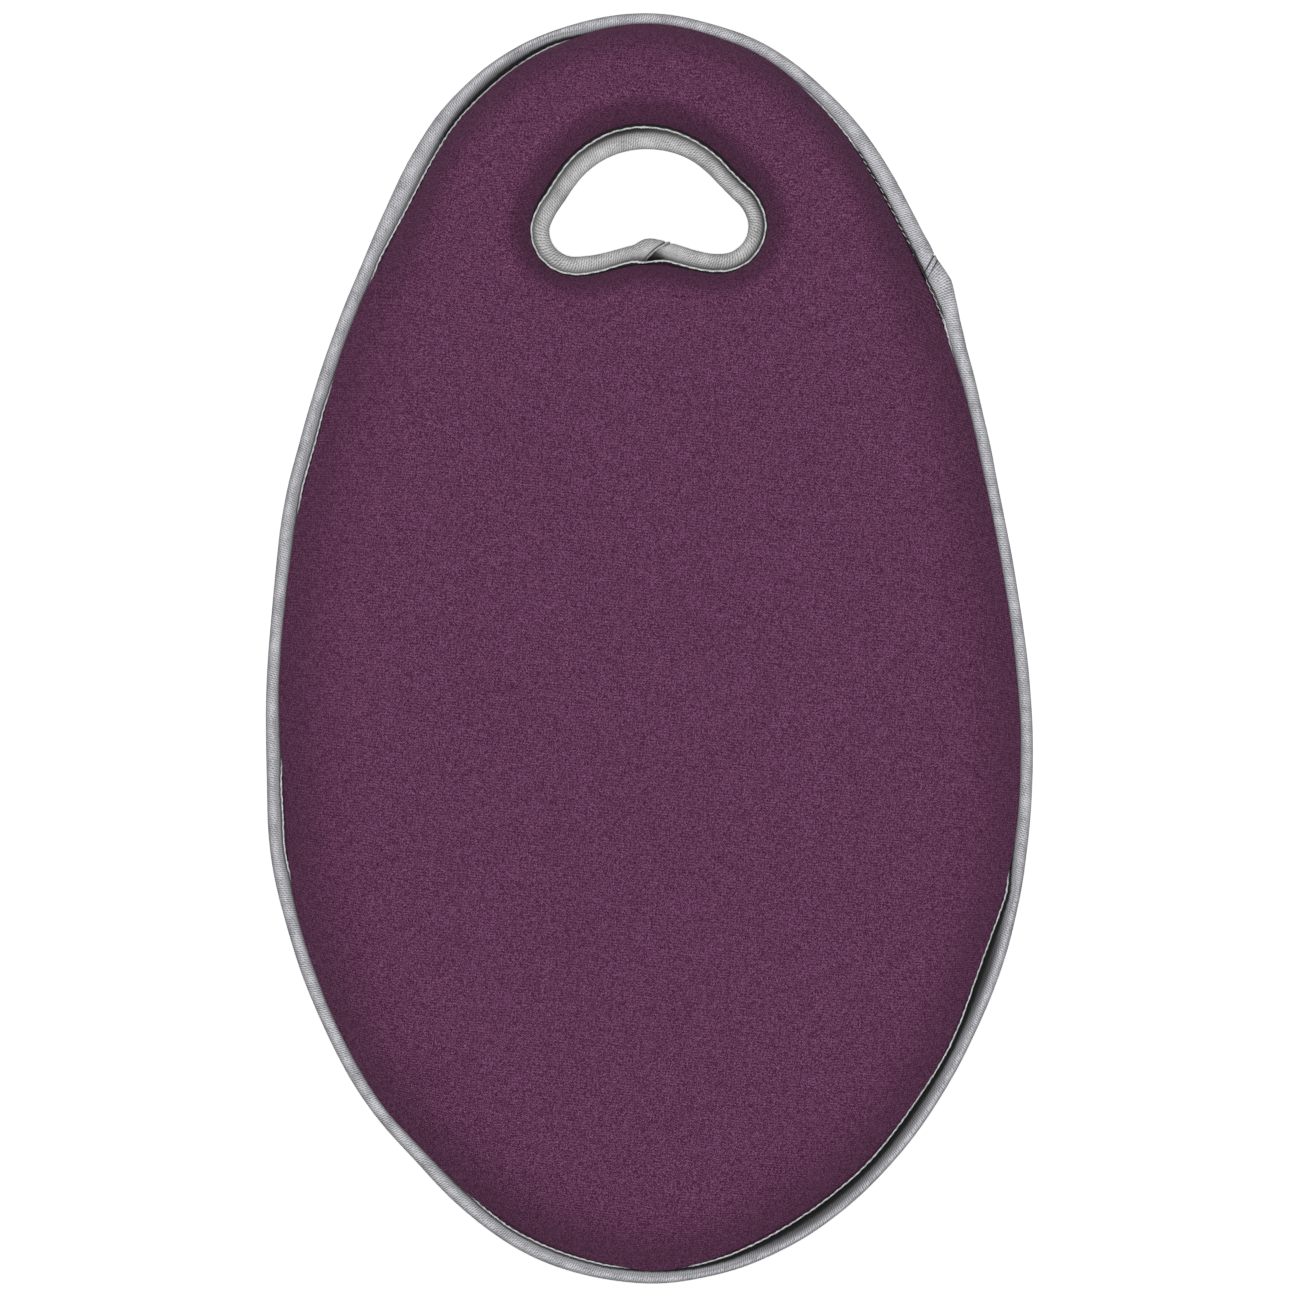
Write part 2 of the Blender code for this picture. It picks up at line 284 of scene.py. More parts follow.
class Rim:
    """The outer line of a binding, from its joint once round, with the pad on its left."""

    SPACING = 0.5 * MM
    STEADY = 3.0  # stations over which the rim's direction is averaged

    def __init__(self, node, clockwise, looks):
        low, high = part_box(node)
        self.seam = (low.z + high.z) / 2
        points = np.array([v.co[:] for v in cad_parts[node].data.vertices])
        rim = points[np.abs(points[:, 2] - self.seam) < 0.1 * MM][:, :2]
        rim = np.unique(np.round(rim, 5), axis=0)
        from_centre = rim - rim.mean(axis=0)
        rim = rim[np.argsort(np.arctan2(from_centre[:, 1], from_centre[:, 0]))]
        if clockwise:
            rim = rim[::-1]
        gaps = np.linalg.norm(np.roll(rim, -1, axis=0) - rim, axis=1)
        rim = np.roll(rim, -int(np.argmin(gaps)), axis=0)  # the tape's two ends come first
        rim = np.vstack([(rim[:1] + rim[1:2]) / 2, rim[2:]])
        self.centre = (rim.min(axis=0) + rim.max(axis=0)) / 2
        self.loop, self.length = smooth_closed(rim, self.SPACING)
        self.looks = looks
        self.gap, self.shoulder = looks["gap"], looks["shoulder"]
        stations = np.linspace(0.0, self.length, len(self.loop), endpoint=False)
        outwards = -left_normals(blur(self.loop, self.STEADY))
        self.loop = self.loop + self.swollen(stations, "out")[:, None] * outwards

    def ring(self, count, inset):
        """Even points round the rim, moved into the pad; deeper rings are also smoother."""
        depth = float(np.mean(inset)) / self.SPACING
        centres = blur(self.loop, 0.22 * depth)
        normals = left_normals(blur(self.loop, 0.5 * depth + 2.0))
        s = np.linspace(0.0, len(self.loop), count, endpoint=False)
        return lookup(centres, s) + np.reshape(inset, (-1, 1)) * lookup(normals, s)

    def at(self, s, inset):
        """Points at the distances s along the rim, moved into the pad by inset."""
        normals = left_normals(blur(self.loop, self.STEADY))
        stations = s / self.length * len(self.loop)
        return lookup(self.loop, stations) + inset[..., None] * lookup(normals, stations)

    def swollen(self, s, size):
        """Sum of the swells' wider, valley or out sizes at the distances s, in metres."""
        offset = lookup(self.loop, s / self.length * len(self.loop)) - self.centre
        degrees = np.degrees(np.arctan2(offset[..., 0], offset[..., 1]))
        total = 0.0 * s
        for swell in self.looks["swells"]:
            away = (degrees - swell.at + 180) % 360 - 180
            total = total + getattr(swell, size) * MM * bump(away, 0.0, swell.degrees)
        return total

    def showing(self, s):
        """Width of tape that shows outside the front cover."""
        return self.looks["tape"] + self.swollen(s, "wider")

    def valley(self, s):
        return self.looks["valley"] + self.swollen(s, "valley")

    def depth(self, s):
        """How deep the tape reaches: to the cover where its lip shows, and under it elsewhere."""
        showing = self.showing(s)
        under = np.maximum(showing + COVERED_LIP, HIDDEN_DEPTH)
        return under + (showing - under) * ease(showing, *LIP_APPEARS)

    def room(self, s):
        """Half of the way to the other rim."""
        place = self.at(s, 0 * s)
        return np.min(np.linalg.norm(place[:, None] - self.other[None], axis=2), axis=1) / 2


def lookup(loop, stations):
    """A closed loop's values between its stations."""
    places = np.arange(len(loop))
    return np.stack(
        [np.interp(stations, places, loop[:, axis], period=len(loop)) for axis in (0, 1)], axis=-1
    )


def ease(x, start, end):
    """0 before start, 1 after end, smooth between them."""
    t = np.clip((x - start) / (end - start), 0.0, 1.0)
    return t * t * (3 - 2 * t)


def bump(x, centre, width):
    return np.exp(-(((x - centre) / width) ** 2))


def wander(s, length, scale, seed):
    """Smooth noise of about +-1 along a distance."""
    return np.array(
        [noise.noise(Vector((value / scale, seed * 7.31, length))) for value in np.ravel(s)]
    ).reshape(np.shape(s)) * 1.6


# ---------------------------------------------------------------- covers and foam

def cover_rings(rim, side, count, setback=0.0):
    """Rings of points from the flange's tip to the flat face, each (points, rise)."""
    s = np.linspace(0.0, rim.length, count, endpoint=False)
    showing = blur(rim.showing(s), 1.2)
    depth = blur(rim.depth(s), 1.2)
    pucker = wander(s, rim.length, PUCKER_LENGTH, 3.0 + side) * PUCKER
    if side > 0:
        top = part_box("front_cover")[1].z - rim.seam
        neck, bulge_rise, reach = FRONT_NECK, FRONT_BULGE_RISE, rim.shoulder
        bulge = showing + rim.gap + pucker
    else:
        top = rim.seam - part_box("back_cover")[0].z
        neck, bulge_rise, reach = BACK_NECK, BACK_BULGE_RISE, BACK_SHOULDER
        bulge = BACK_BULGE_INSET + BACK_DRAW * showing + pucker
    crease = np.maximum(depth + CREASE_SETBACK, bulge)
    calm = bulge.mean()  # the top of the shoulder doesn't follow the swells below it
    reach = blur(np.minimum(reach, rim.room(s) - np.maximum(bulge, calm) - FLAT_HALF), 2.0)
    rings = []
    if not setback:
        rings += [(FLANGE_TIP + 0 * s, FLANGE_HALF), (depth - FLANGE_END, FLANGE_HALF)]
        rings += [(depth + PARTED_SETBACK, PARTED_HALF), (crease, neck)]
    else:
        rings += [(crease + setback, FOAM_SPLIT_HALF), (crease + setback, neck + setback / 2)]
    for step in range(1, BULGE_STEPS + 1):
        t = step / BULGE_STEPS
        out = math.sin(t * math.pi / 2)
        rise = neck + (bulge_rise - neck) * t
        rings.append((crease + (bulge - crease) * out + setback, rise))
    for step in range(1, SHOULDER_STEPS + 1):
        t = (step / SHOULDER_STEPS) ** SHOULDER_CROWDING
        inset = bulge + (calm - bulge) * t + setback + (reach - setback * 0.4) * t
        up = 1 - (1 - t) ** SHOULDER_POWER
        rings.append((inset, bulge_rise + (top - setback - bulge_rise) * up))
    return [(rim.ring(count, inset), rise) for inset, rise in rings]


def inside(points, loop):
    """Which points lie inside a closed loop."""
    x, y = points[:, 0, None], points[:, 1, None]
    x0, y0 = loop.T
    x1, y1 = np.roll(loop, -1, axis=0).T
    crosses = (y0 > y) != (y1 > y)
    with np.errstate(divide="ignore", invalid="ignore"):
        cut = x0 + (y - y0) / (y1 - y0) * (x1 - x0)
    return (crosses & (x < cut)).sum(axis=1) % 2 == 1


def lattice(outer, hole, spacing):
    """Points of a triangular lattice in the flat face, clear of its two edges."""
    low, high = outer.min(axis=0), outer.max(axis=0)
    row_step = spacing * math.sqrt(3) / 2
    points = []
    for row, y in enumerate(np.arange(low[1], high[1], row_step)):
        for x in np.arange(low[0] + spacing / 2 * (row % 2), high[0], spacing):
            points.append((x, y))
    points = np.array(points)
    points = points[inside(points, outer) & ~inside(points, hole)]
    edges = np.vstack([outer, hole])
    nearest = np.min(np.linalg.norm(points[:, None] - edges[None], axis=2), axis=1)
    return points[nearest > 0.6 * spacing]


def flat_faces(outer, hole, spacing):
    """Inner points, and triangles over (outer, hole, inner) points, of the flat face."""
    inner = lattice(outer, hole, spacing)
    points = np.vstack([outer, hole, inner])
    n, m = len(outer), len(hole)
    edges = [(i, (i + 1) % n) for i in range(n)]
    edges += [(n + i, n + (i + 1) % m) for i in range(m)]
    made = delaunay_2d_cdt([Vector(p) for p in points], edges, [], 1, 1e-7)
    triangles = np.array([face for face in made[2]])
    middles = points[triangles].mean(axis=1)
    return inner, triangles[~inside(middles, hole)]


def ring_counts(edge, hole):
    return [int(rim.length / RING_SPACING) for rim in (edge, hole)]


def sheet(edge, hole, side, setback=0.0, spacing=LATTICE_SPACING):
    """Vertices, faces, fabric coordinates and pinned vertices of one cover or foam face."""
    counts = ring_counts(edge, hole)
    verts, faces, fabric, pinned, last = [], [], [], [], []
    for rim, count in zip((edge, hole), counts):
        rings = cover_rings(rim, side, count, setback)
        start = len(verts)
        flat_points = rings[-1][0]
        outward = -left_normals(flat_points)
        path = np.array([np.column_stack([p, np.full(count, rise)]) for p, rise in rings])
        steps = np.linalg.norm(np.diff(path, axis=0), axis=2)
        beyond = np.vstack([np.cumsum(steps[::-1], axis=0)[::-1], np.zeros((1, count))])
        for index, (points, rise) in enumerate(rings):
            verts += [(x, y, rim.seam + side * rise) for x, y in points]
            spread = flat_points + outward * beyond[index][:, None]
            fabric += [(x, y, 0.0) for x, y in spread]
            pinned += [index < FLANGE_RINGS] * count
        for ring in range(len(rings) - 1):
            for i in range(count):
                a, b = start + ring * count + i, start + ring * count + (i + 1) % count
                faces.append((a, b, b + count, a + count)[:: 1 if side > 0 else -1])
        last.append(start + (len(rings) - 1) * count)
    outer = np.array(verts[last[0]: last[0] + counts[0]])[:, :2]
    inner_edge = np.array(verts[last[1]: last[1] + counts[1]])[:, :2]
    lattice_points, triangles = flat_faces(outer, inner_edge, spacing)
    index = list(range(last[0], last[0] + counts[0])) + list(range(last[1], last[1] + counts[1]))
    index += list(range(len(verts), len(verts) + len(lattice_points)))
    height = verts[last[0]][2]
    verts += [(x, y, height) for x, y in lattice_points]
    fabric += [(x, y, 0.0) for x, y in lattice_points]
    pinned += [side < 0] * len(lattice_points)
    for a, b, c in triangles:
        faces.append((index[a], index[b], index[c])[:: 1 if side > 0 else -1])
    return np.array(verts), faces, np.array(fabric), np.array(pinned)


def new_piece(name, verts, faces, material):
    mesh = bpy.data.meshes.new(name)
    mesh.from_pydata([tuple(v) for v in verts], [], [tuple(f) for f in faces])
    mesh.validate()
    mesh.shade_smooth()
    mesh.materials.append(material)
    piece = bpy.data.objects.new(name, mesh)
    bpy.context.scene.collection.objects.link(piece)
    return piece


def set_attribute(piece, name, vectors):
    data = piece.data.attributes.new(name, "FLOAT_VECTOR", "POINT")
    data.data.foreach_set("vector", np.asarray(vectors, np.float32).ravel())


def swell(front, back, tips):
    """How far each vertex of the two covers moves when the filling presses them outwards."""
    offset = len(front[0])
    verts = np.vstack([front[0], back[0]])
    faces = list(front[1]) + [tuple(i + offset for i in face) for face in back[1]]
    for start, count in tips:
        for i in range(count):
            a, b = start + i, start + (i + 1) % count
            faces.append((a, a + offset, b + offset, b))
    body = new_piece("swelling", verts, faces, bpy.data.materials.new("swelling"))
    group = body.vertex_groups.new(name="held")
    held = np.concatenate([front[3], back[3]])
    group.add([int(i) for i in np.nonzero(held)[0]], 1.0, "REPLACE")
    cloth = body.modifiers.new("swell", "CLOTH")
    settings = cloth.settings
    settings.quality = 6
    settings.mass = 0.3
    settings.tension_stiffness = 30.0
    settings.compression_stiffness = 5.0
    settings.shear_stiffness = 12.0
    settings.bending_stiffness = 20.0
    settings.use_pressure = True
    settings.uniform_pressure_force = SWELL_PRESSURE
    settings.effector_weights.gravity = 0.0
    settings.vertex_group_mass = "held"
    cloth.collision_settings.use_collision = False
    cloth.point_cache.frame_start, cloth.point_cache.frame_end = 1, SWELL_FRAMES
    for step in range(1, SWELL_FRAMES + 1):
        bpy.context.scene.frame_set(step)
    bpy.context.view_layer.objects.active = body
    bpy.ops.object.modifier_apply(modifier=cloth.name)
    moved = np.array([v.co[:] for v in body.data.vertices]) - verts
    bpy.context.scene.frame_set(1)
    bpy.data.objects.remove(body, do_unlink=True)
    size = np.linalg.norm(moved, axis=1)
    moved *= (np.tanh(size / SWELL_CAP) * SWELL_CAP / np.maximum(size, 1e-9))[:, None]
    return moved[:offset], moved[offset:]


def unevenness(verts):
    """Slow rise and fall of the padding under the fabric."""
    slow = np.array([noise.noise(Vector(v) / SLOW_WAVE) for v in verts])
    quick = np.array([noise.noise(Vector(v) / QUICK_WAVE + Vector((9, 4, 2))) for v in verts])
    return SLOW_HEIGHT * slow + QUICK_HEIGHT * quick


def add_cover(name, cover, moved, side, material):
    verts = cover[0] + moved
    free = ~cover[3]
    verts[free, 2] += side * unevenness(verts)[free] * (1.0 if side > 0 else BACK_EVENNESS)
    verts[:, 2] = np.maximum(verts[:, 2], FLOOR_GAP)
    piece = new_piece(name, verts, cover[1], material)
    set_attribute(piece, "fabric", cover[2])
    finer = piece.modifiers.new("finer", "SUBSURF")
    finer.levels = finer.render_levels = 1
    shell = piece.modifiers.new("fabric thickness", "SOLIDIFY")
    shell.thickness = COVER_THICKNESS
    shell.offset = -1.0
    return piece


def add_foam(name, edge, hole, side, material):
    """A closed foam layer that fills one cover, up to the split at the seam's height."""
    spacing = FOAM_LATTICE_SPACING
    verts, faces, _, _ = sheet(edge, hole, side, setback=FOAM_SETBACK, spacing=spacing)
    counts = ring_counts(edge, hole)
    rings = FOAM_WALL_RINGS + BULGE_STEPS + SHOULDER_STEPS
    starts = [0, rings * counts[0]]
    outer, inner_edge = (verts[a: a + n, :2] for a, n in zip(starts, counts))
    inner, triangles = flat_faces(outer, inner_edge, spacing)
    index = [a + i for a, n in zip(starts, counts) for i in range(n)]
    index += range(len(verts), len(verts) + len(inner))
    height = verts[0][2]
    verts = np.vstack([verts, np.column_stack([inner, np.full(len(inner), height)])])
    for a, b, c in triangles:
        faces.append((index[a], index[b], index[c])[:: -1 if side > 0 else 1])
    return new_piece(name, verts, faces, material)


# ---------------------------------------------------------------- tape and thread

def tape_line(depth, valley, crevice):
    """Middle line of the folded tape: (inset, rise) arrays, from the upper lip to the lower."""
    roll = depth - 0.9 * MM - valley - 0.9 * MM  # inner shoulder of the roll
    upper = [
        # The tape's edge, which goes on under the cover where there is a crevice and is painted
        # black there to stand for the crevice's shade, and the lip
        (depth + (0.85 * crevice - 0.05) * MM, (1.50 + 1.30 * crevice) * MM),
        (depth + (0.22 * crevice - 0.12) * MM, (2.15 - 0.10 * crevice) * MM),
        (depth - 0.25 * MM, 2.60 * MM),
        # Down into the sewn valley
        (depth - 0.42 * MM, 2.25 * MM),
        (depth - 0.55 * MM, 1.30 * MM),
        (depth - 0.75 * MM - valley / 2, 0.98 * MM),
        (depth - 0.90 * MM - valley - 0.1 * MM, 1.35 * MM),
        # Up over the roll, and down its side
        (roll, 2.40 * MM),
        (0.72 * roll + 0.3 * MM, 2.95 * MM),
        (0.42 * roll + 0.4 * MM, 3.02 * MM),
        (1.10 * MM + 0 * depth, 2.40 * MM),
        (0.52 * MM + 0 * depth, 1.25 * MM),
    ]
    line = upper + [(0.40 * MM + 0 * depth, 0.0)] + [(d, -h) for d, h in upper[::-1]]
    inset = np.stack([d for d, _ in line], axis=1)
    rise = np.tile([h for _, h in line], (len(depth), 1))
    return inset, rise


def thicken(inset, rise):
    """Closed profiles round a middle line, half the tape's thickness to each side of it."""
    along_d, along_h = np.gradient(inset, axis=1), np.gradient(rise, axis=1)
    size = np.hypot(along_d, along_h)
    out_d, out_h = along_h / size, -along_d / size
    place = np.arange(inset.shape[1])
    to_lip = np.minimum(place, place[::-1])
    half = TAPE_THICKNESS / 2 * (0.32 + 0.68 * ease(to_lip, 1, 5))  # thin along its two edges
    outer = inset + out_d * half, rise + out_h * half
    inner = inset - out_d * half, rise - out_h * half
    return (
        np.concatenate([outer[0], inner[0][:, ::-1]], axis=1),
        np.concatenate([outer[1], inner[1][:, ::-1]], axis=1),
    )


def tape_stations(rim):
    """Distances along the tape from its hemmed upper end, in finer steps at the hem."""
    fine = np.concatenate([np.arange(0, HEM_ZONE, HEM_STEP), [HEM_ZONE]])
    return np.concatenate([fine, np.arange(HEM_ZONE + TAPE_STEP, rim.length + LAP, TAPE_STEP)])


def slacken(inset, rise, s, to_end, rim, joint):
    """The roll swells and sways slowly, and flares out at the sides of the joint."""
    slow = wander(s, rim.length, ROLL_WAVE, 2.0)[:, None]
    stitch = np.cos(2 * np.pi * s / STITCH_PITCH)[:, None]
    flare = np.interp(to_end - LAP, *np.array(joint["flare"]).T * MM)
    flare = (flare + np.interp(s, *np.array(joint["start_flare"]).T * MM))[:, None]
    near_rim = np.clip(1 - inset / ROLL_REACH, 0, 1)
    rise = rise * (1 + ROLL_WAVE_RISE * slow + STITCH_RISE * stitch)
    rise = rise * (1 - FLARE_FLATTENING * flare / FLARE)
    return inset - flare * near_rim - ROLL_SWAY * slow * near_rim, rise


def lap(inset, rise, s, to_end, joint):
    """The hemmed upper end rides over the under end, which is tucked in below it."""
    lifted = LIFT * (1 - ease(s, HEM_ZONE, LIFT_END))
    hem_end = joint["hem"]
    hem = HEM_FOLD * ease(s, 0, HEM_ROUNDING) * (1 - ease(s, hem_end - HEM_ROUNDING, hem_end))
    hem = hem - HEM_GROOVE * bump(s, hem_end + GROOVE_PLACE, GROOVE_WIDTH)
    outward = np.sign(rise) * np.minimum(1, np.abs(rise) / LIFT_RISE)
    rise = rise + outward * (lifted + hem)[:, None]
    inset = inset - (LIFT_AT_SIDE * lifted + hem)[:, None] * bump(inset, 0, LIFT_REACH)
    tucked = 1 - ease(to_end, LAP, LAP + TUCK_LENGTH)[:, None]
    rise = rise * (1 - TUCK_FLATTENING * tucked)
    return inset + joint["tuck"] * tucked * bump(inset, 0, TUCK_REACH), rise


def shadows(inset, depth, valley, s, to_end, joint):
    """Painted shade over the tape: 1 in the shadow of the valley and the joint, 0 on the lit roll,
    below 0 where the lip gets a painted highlight.
    """
    from_lip = (depth[:, None] - inset) / depth[:, None]
    wide = valley[:, None] / MM
    # The painted shade reaches further from the lip where the valley is wider, and fades out with
    # it
    dark = 1 - ease(from_lip, 0.11 * wide, 0.26 + 0.15 * wide) ** 2.2
    dark = dark * np.clip(wide / 1.2, 0, 1) ** 0.5
    lip_lit = ease(valley, 0.0, LIT_LIP_VALLEY)[:, None]
    # painted shadow of the cover on the lip where the valley is closed
    dark = np.maximum(dark, (1 - lip_lit) * (1 - ease(from_lip, 0.10, 0.30)))
    # painted shadow in the groove sewn along the hem and under the lapped end
    groove_shadow = bump(s, joint["hem"] + GROOVE_PLACE, 0.3 * MM)
    under_end_shadow = bump(to_end, LAP - 0.1 * MM, 0.45 * MM)
    dark = np.maximum(dark, np.maximum(groove_shadow, under_end_shadow)[:, None])
    place = np.arange(inset.shape[1])
    to_edge = np.minimum(place, place[::-1])
    # The tape's edge is painted black as the shade under the cover, and the lip beside it gets a
    # painted highlight where the valley is open and painted shade where the cover shadows it
    dark = np.where(to_edge < 2, 1.0, dark)
    return np.where(to_edge == 2, 0.9 - 2.1 * lip_lit, dark)


def add_tape(name, rim, joint, material):
    """A folded tape once round the rim, with its hemmed end lapped over its other end."""
    s = tape_stations(rim)
    to_end = rim.length + LAP - s
    depth = rim.depth(s) - LIP_SETBACK + STITCH_PULL * np.cos(2 * np.pi * s / STITCH_PITCH)
    depth = depth + LIP_WANDER * wander(s, rim.length, LIP_WANDER_LENGTH, 1.0)
    opened = joint["valley"] * bump(to_end, LAP + joint["valley_at"], OPEN_VALLEY_LENGTH)
    valley = np.maximum(rim.valley(s), 0.0) + opened
    inset, rise = tape_line(depth, valley, rim.looks["crevice"])
    inset, rise = slacken(inset, rise, s, to_end, rim, joint)
    inset, rise = lap(inset, rise, s, to_end, joint)

    across = np.cumsum(np.hypot(np.gradient(inset, axis=1), np.gradient(rise, axis=1)), axis=1)
    dark = shadows(inset, depth, valley, s, to_end, joint)
    across, dark = (np.concatenate([line, line[:, ::-1]], axis=1) for line in (across, dark))
    edge_d, edge_h = thicken(inset, rise)
    slant = bump(s, 0, SLANT_LENGTH) + bump(to_end, 0, SLANT_LENGTH)
    shift = (joint["start"] + joint["slope"] * edge_d) * slant[:, None]
    place = rim.at(s[:, None] + shift, edge_d)
    verts = np.concatenate([place, rim.seam + edge_h[..., None]], axis=2)
    piece = new_piece(name, verts.reshape(-1, 3), tube_faces(*edge_d.shape), material)
    along = np.tile(s[:, None], (1, edge_d.shape[1]))
    set_attribute(piece, "tape", np.stack([along, across, dark], axis=-1).reshape(-1, 3))
    return piece


def tube_faces(rows, columns):
    """Faces of a tube whose points go round it row by row, closed at both ends."""
    grid = np.arange(rows * columns).reshape(rows, columns)
    following = np.roll(grid, -1, axis=1)
    sides = np.stack([grid[:-1], following[:-1], following[1:], grid[1:]], axis=-1)
    return sides.reshape(-1, 4).tolist() + [grid[0, ::-1].tolist(), grid[-1].tolist()]


def tube(path, radius, sides=6):
    """Vertices and faces of a round tube along a path."""
    along = np.gradient(path, axis=0)
    along /= np.linalg.norm(along, axis=1)[:, None]
    level = np.cross(along, (0.0, 0.0, 1.0))
    level /= np.linalg.norm(level, axis=1)[:, None]
    upward = np.cross(level, along)
    angle = np.arange(sides) / sides * 2 * np.pi
    around = level[:, None] * np.cos(angle)[:, None] + upward[:, None] * np.sin(angle)[:, None]
    verts = (path[:, None] + around * np.reshape(radius, (-1, 1, 1))).reshape(-1, 3)
    return verts, tube_faces(len(path), sides)


def add_stitches(name, rim, side, material):
    """A lockstitch along the tape's lip: each stitch stands up and dips in at its ends."""
    s = np.arange(2 * MM, rim.length - 1 * MM, STITCH_PITCH / STITCH_PIECES)
    phase = (s / STITCH_PITCH) % 1.0
    stand = np.sqrt(np.abs(np.sin(np.pi * phase)))
    inset = rim.depth(s) - ROW_SETBACK + STITCH_LEAN * (2 * phase - 1)
    inset = inset + ROW_WANDER * wander(s, rim.length, ROW_WANDER_LENGTH, 5.0)
    rise = STITCH_DIP + STITCH_STAND * stand
    place = rim.at(s, inset)
    path = np.column_stack([place, rim.seam + side * rise])
    verts, faces = tube(path, THREAD_RADIUS * (0.6 + 0.4 * stand))
    return new_piece(name, verts, faces, material)


# ---------------------------------------------------------------- materials

class Graph:
    """Short names for building a material's nodes."""

    def __init__(self, name, roughness):
        self.material = bpy.data.materials.new(name)
        self.material.use_nodes = True
        self.tree = self.material.node_tree
        self.shader = self.tree.nodes["Principled BSDF"]
        self.shader.inputs["Roughness"].default_value = roughness

    def node(self, kind, settings=None, **inputs):
        made = self.tree.nodes.new(kind)
        for key, value in (settings or {}).items():
            setattr(made, key, value)
        for key, value in inputs.items():
            self.feed(made.inputs[key.replace("_", " ")], value)
        return made

    def feed(self, socket, value):
        if isinstance(value, bpy.types.NodeSocket):
            self.tree.links.new(value, socket)
        else:
            socket.default_value = value

    def math(self, operation, *values):
        made = self.tree.nodes.new("ShaderNodeMath")
        made.operation = operation
        for socket, value in zip(made.inputs, values):
            self.feed(socket, value)
        return made.outputs[0]

    def attribute(self, name):
        return self.node("ShaderNodeAttribute", {"attribute_name": name}).outputs["Vector"]

    def parts(self, vector):
        return self.node("ShaderNodeSeparateXYZ", Vector=vector).outputs

    def noise(self, vector, scale, detail=2.0):
        return self.node("ShaderNodeTexNoise", Vector=vector, Scale=scale, Detail=detail).outputs[0]

    def ramp(self, value, stops):
        made = self.node("ShaderNodeValToRGB", Fac=value)
        elements = made.color_ramp.elements
        while len(elements) < len(stops):
            elements.new(0.5)
        for element, (position, colour) in zip(elements, stops):
            element.position, element.color = position, (*colour, 1.0)
        return made.outputs[0]

    def mix(self, factor, first, second, blend="MIX"):
        made = self.node("ShaderNodeMix", {"data_type": "RGBA", "blend_type": blend})
        self.feed(made.inputs[0], factor)
        self.feed(made.inputs[6], first)
        self.feed(made.inputs[7], second)
        return made.outputs[2]

    def finish(self, colour, height, distance, strength):
        relief = self.node("ShaderNodeBump", Height=height, Distance=distance, Strength=strength)
        self.feed(self.shader.inputs["Base Color"], colour)
        self.feed(self.shader.inputs["Normal"], relief.outputs[0])
        return self.material


def knit_material(name, tone):
    """Fine jersey knit: rows of small V loops, heathered yarn and a soft nap."""
    g = Graph(name, 0.85)
    fabric = g.attribute("fabric")
    turned = g.node("ShaderNodeMapping", Vector=fabric)
    turned.inputs["Rotation"].default_value = (0.0, 0.0, KNIT_TURN)
    x, y, _ = g.parts(turned.outputs[0])
    wale = g.math("FRACT", g.math("DIVIDE", x, WALE_PITCH))
    leg = g.math("ABSOLUTE", g.math("SUBTRACT", wale, 0.5))
    row = g.math("ADD", g.math("DIVIDE", y, ROW_PITCH), leg)
    loops = g.math("SINE", g.math("MULTIPLY", row, 2 * math.pi))
    wales = g.math("COSINE", g.math("MULTIPLY", wale, 2 * math.pi))
    knit = g.math("ADD", g.math("MULTIPLY", loops, 0.14), g.math("MULTIPLY", wales, -0.06))
    knit = g.math("ADD", knit, g.math("MULTIPLY", g.math("MULTIPLY", loops, wales), 0.40))
    knit = g.math("ADD", knit, 0.5)
    legs = g.math("FLOOR", g.math("DIVIDE", x, YARN_WIDTH))
    rows = g.math("FLOOR", g.math("MULTIPLY", row, YARNS_IN_ROW))
    cell = g.node("ShaderNodeCombineXYZ", X=legs, Y=rows).outputs[0]
    yarn = g.node("ShaderNodeTexWhiteNoise", Vector=cell).outputs["Value"]
    fuzz = g.noise(fabric, 3600.0, 0.0)
    mottle = g.noise(fabric, 22.0, 3.0)
    shade = g.math("ADD", g.math("MULTIPLY", yarn, YARN_CONTRAST), 0.5 - YARN_CONTRAST / 2)
    shade = g.math("ADD", shade, g.math("MULTIPLY", g.math("SUBTRACT", fuzz, 0.5), 0.60))
    shade = g.math("ADD", shade, g.math("MULTIPLY", g.math("SUBTRACT", knit, 0.5), 0.40))
    shade = g.math("ADD", shade, g.math("MULTIPLY", g.math("SUBTRACT", mottle, 0.5), 0.05))
    dark, middle, light = [tuple(tone * c for c in colour) for colour in KNIT_COLOURS]
    colour = g.ramp(shade, [(0.0, dark), (0.5, middle), (1.0, light)])
    g.shader.inputs["Sheen Weight"].default_value = 0.03
    g.shader.inputs["Sheen Roughness"].default_value = 0.3
    g.shader.inputs["Sheen Tint"].default_value = SHEEN_TINT
    g.shader.inputs["Specular IOR Level"].default_value = 0.1
    height = g.math("ADD", knit, g.math("MULTIPLY", fuzz, 0.6))
    return g.finish(colour, height, 0.22 * MM, 0.7)


